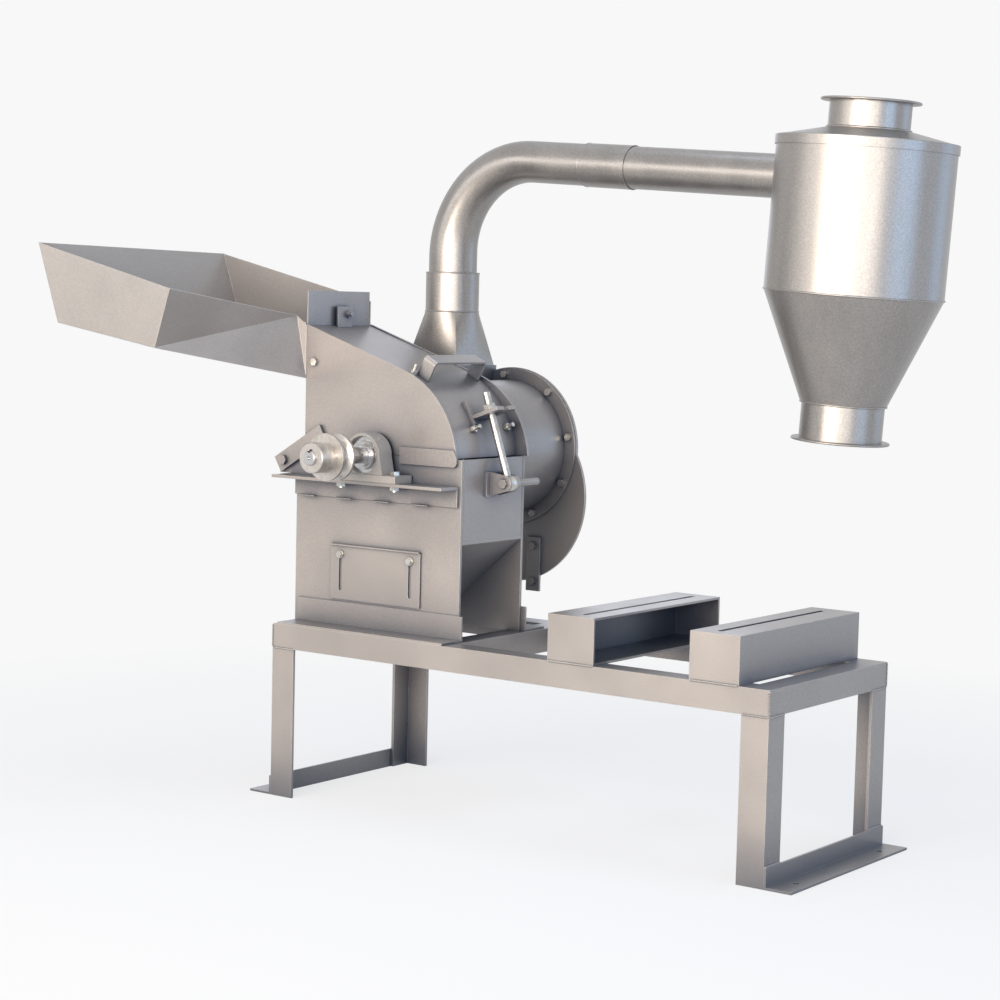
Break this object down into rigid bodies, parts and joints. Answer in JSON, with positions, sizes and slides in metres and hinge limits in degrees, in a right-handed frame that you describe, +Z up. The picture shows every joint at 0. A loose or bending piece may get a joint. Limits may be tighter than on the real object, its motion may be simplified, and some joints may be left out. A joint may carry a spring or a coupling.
{
  "type": "pulverizer machine",
  "caption": "Pulverizer on an angle-iron base: hinged grinding chamber with feed hopper, belt-driven rotor and fan, duct and cyclone separator.",
  "frame": {"origin": "centre of the four floor-bolt holes, on the floor", "axes": "+X along the base frame from the hopper end to the motor end, +Y from the pulley side to the fan side, +Z up"},
  "size_m": [2.2884, 1.1765, 1.8829],
  "materials": {
    "painted_steel": "silver-grey machine paint with light orange peel",
    "duct_steel": "satin silver sheet",
    "zinc_steel": "zinc-plated",
    "bright_steel": "machined",
    "liner_steel": "worn plate",
    "pulley_iron": "machined grey iron",
    "cast_iron": "painted casting"
  },
  "bodies": {
    "machine": {"bearing_bolts": "zinc_steel", "bearing_inserts": "bright_steel", "bearing_shelf": "painted_steel", "chute_plate": "painted_steel", "clamp_lug": "painted_steel", "cross_angle": "painted_steel", "cyclone_cover": "duct_steel", "cyclone_shell": "duct_steel", "duct_elbow": "duct_steel", "duct_pipe": "duct_steel", "duct_sleeve": "duct_steel", "duct_transition": "duct_steel", "fan_back_plate": "painted_steel", "fan_casing": "painted_steel", "fan_ring": "painted_steel", "fan_stay_bar": "painted_steel", "front_base_angle": "painted_steel", "front_bearing_housing": "cast_iron", "front_left_leg": "painted_steel", "front_rail": "painted_steel", "front_right_leg": "painted_steel", "hatch_bolts": "zinc_steel", "housing_front_plate": "painted_steel", "housing_left_panel": "painted_steel", "housing_rear_plate": "painted_steel", "housing_right_panel": "painted_steel", "left_end_rail": "painted_steel", "left_foot_angle": "painted_steel", "left_motor_rail": "painted_steel", "lower_liner": "liner_steel", "rear_base_angle": "painted_steel", "rear_bearing_bracket": "painted_steel", "rear_bearing_housing": "cast_iron", "rear_left_leg": "painted_steel", "rear_rail": "painted_steel", "rear_right_leg": "painted_steel", "right_end_rail": "painted_steel", "right_foot_angle": "painted_steel", "right_motor_rail": "painted_steel", "ring_bolts": "zinc_steel"},
    "rotor": {"main_shaft": "bright_steel", "drive_pulley": "pulley_iron", "rotor_discs": "bright_steel", "beaters": "bright_steel", "fan_impeller": "bright_steel"},
    "cover": {"cover_shell": "painted_steel", "cover_front_plate": "painted_steel", "cover_rear_plate": "painted_steel", "split_strip": "painted_steel", "cover_handle": "painted_steel", "clamp_fork": "painted_steel", "front_hinge_arm": "painted_steel", "rear_hinge_arm": "painted_steel", "feed_hopper": "painted_steel", "gate_clamp": "painted_steel", "cover_studs": "zinc_steel"},
    "gate": {"feed_gate": "painted_steel"},
    "clamp": {"swing_bolt": "zinc_steel", "swing_nut": "zinc_steel"},
    "hatch": {"bin_hatch": "painted_steel"}
  },
  "joints": [
    {"name": "rotor_spin", "type": "hinge", "parent": "machine", "child": "rotor", "pos_m": [-0.492, 0, 0.95], "axis": [0, 1, 0], "continuous": true},
    {"name": "cover_hinge", "type": "hinge", "parent": "machine", "child": "cover", "pos_m": [-0.815, -0.07, 0.916], "axis": [0, -1, 0], "range_deg": [0, 80]},
    {"name": "gate_slide", "type": "slide", "parent": "cover", "child": "gate", "axis": [0, 0, 1], "range_m": [-0.04, 0.095]},
    {"name": "clamp_swing", "type": "hinge", "parent": "machine", "child": "clamp", "pos_m": [-0.158, -0.07, 0.886], "axis": [0, 1, 0], "range_deg": [0, 160]},
    {"name": "hatch_slide", "type": "slide", "parent": "machine", "child": "hatch", "axis": [0, 0, 1], "range_m": [0, 0.092]}
  ],
  "couplings": [
    {"joint": "clamp_swing", "follows": "cover_hinge", "ratio": 2}
  ]
}
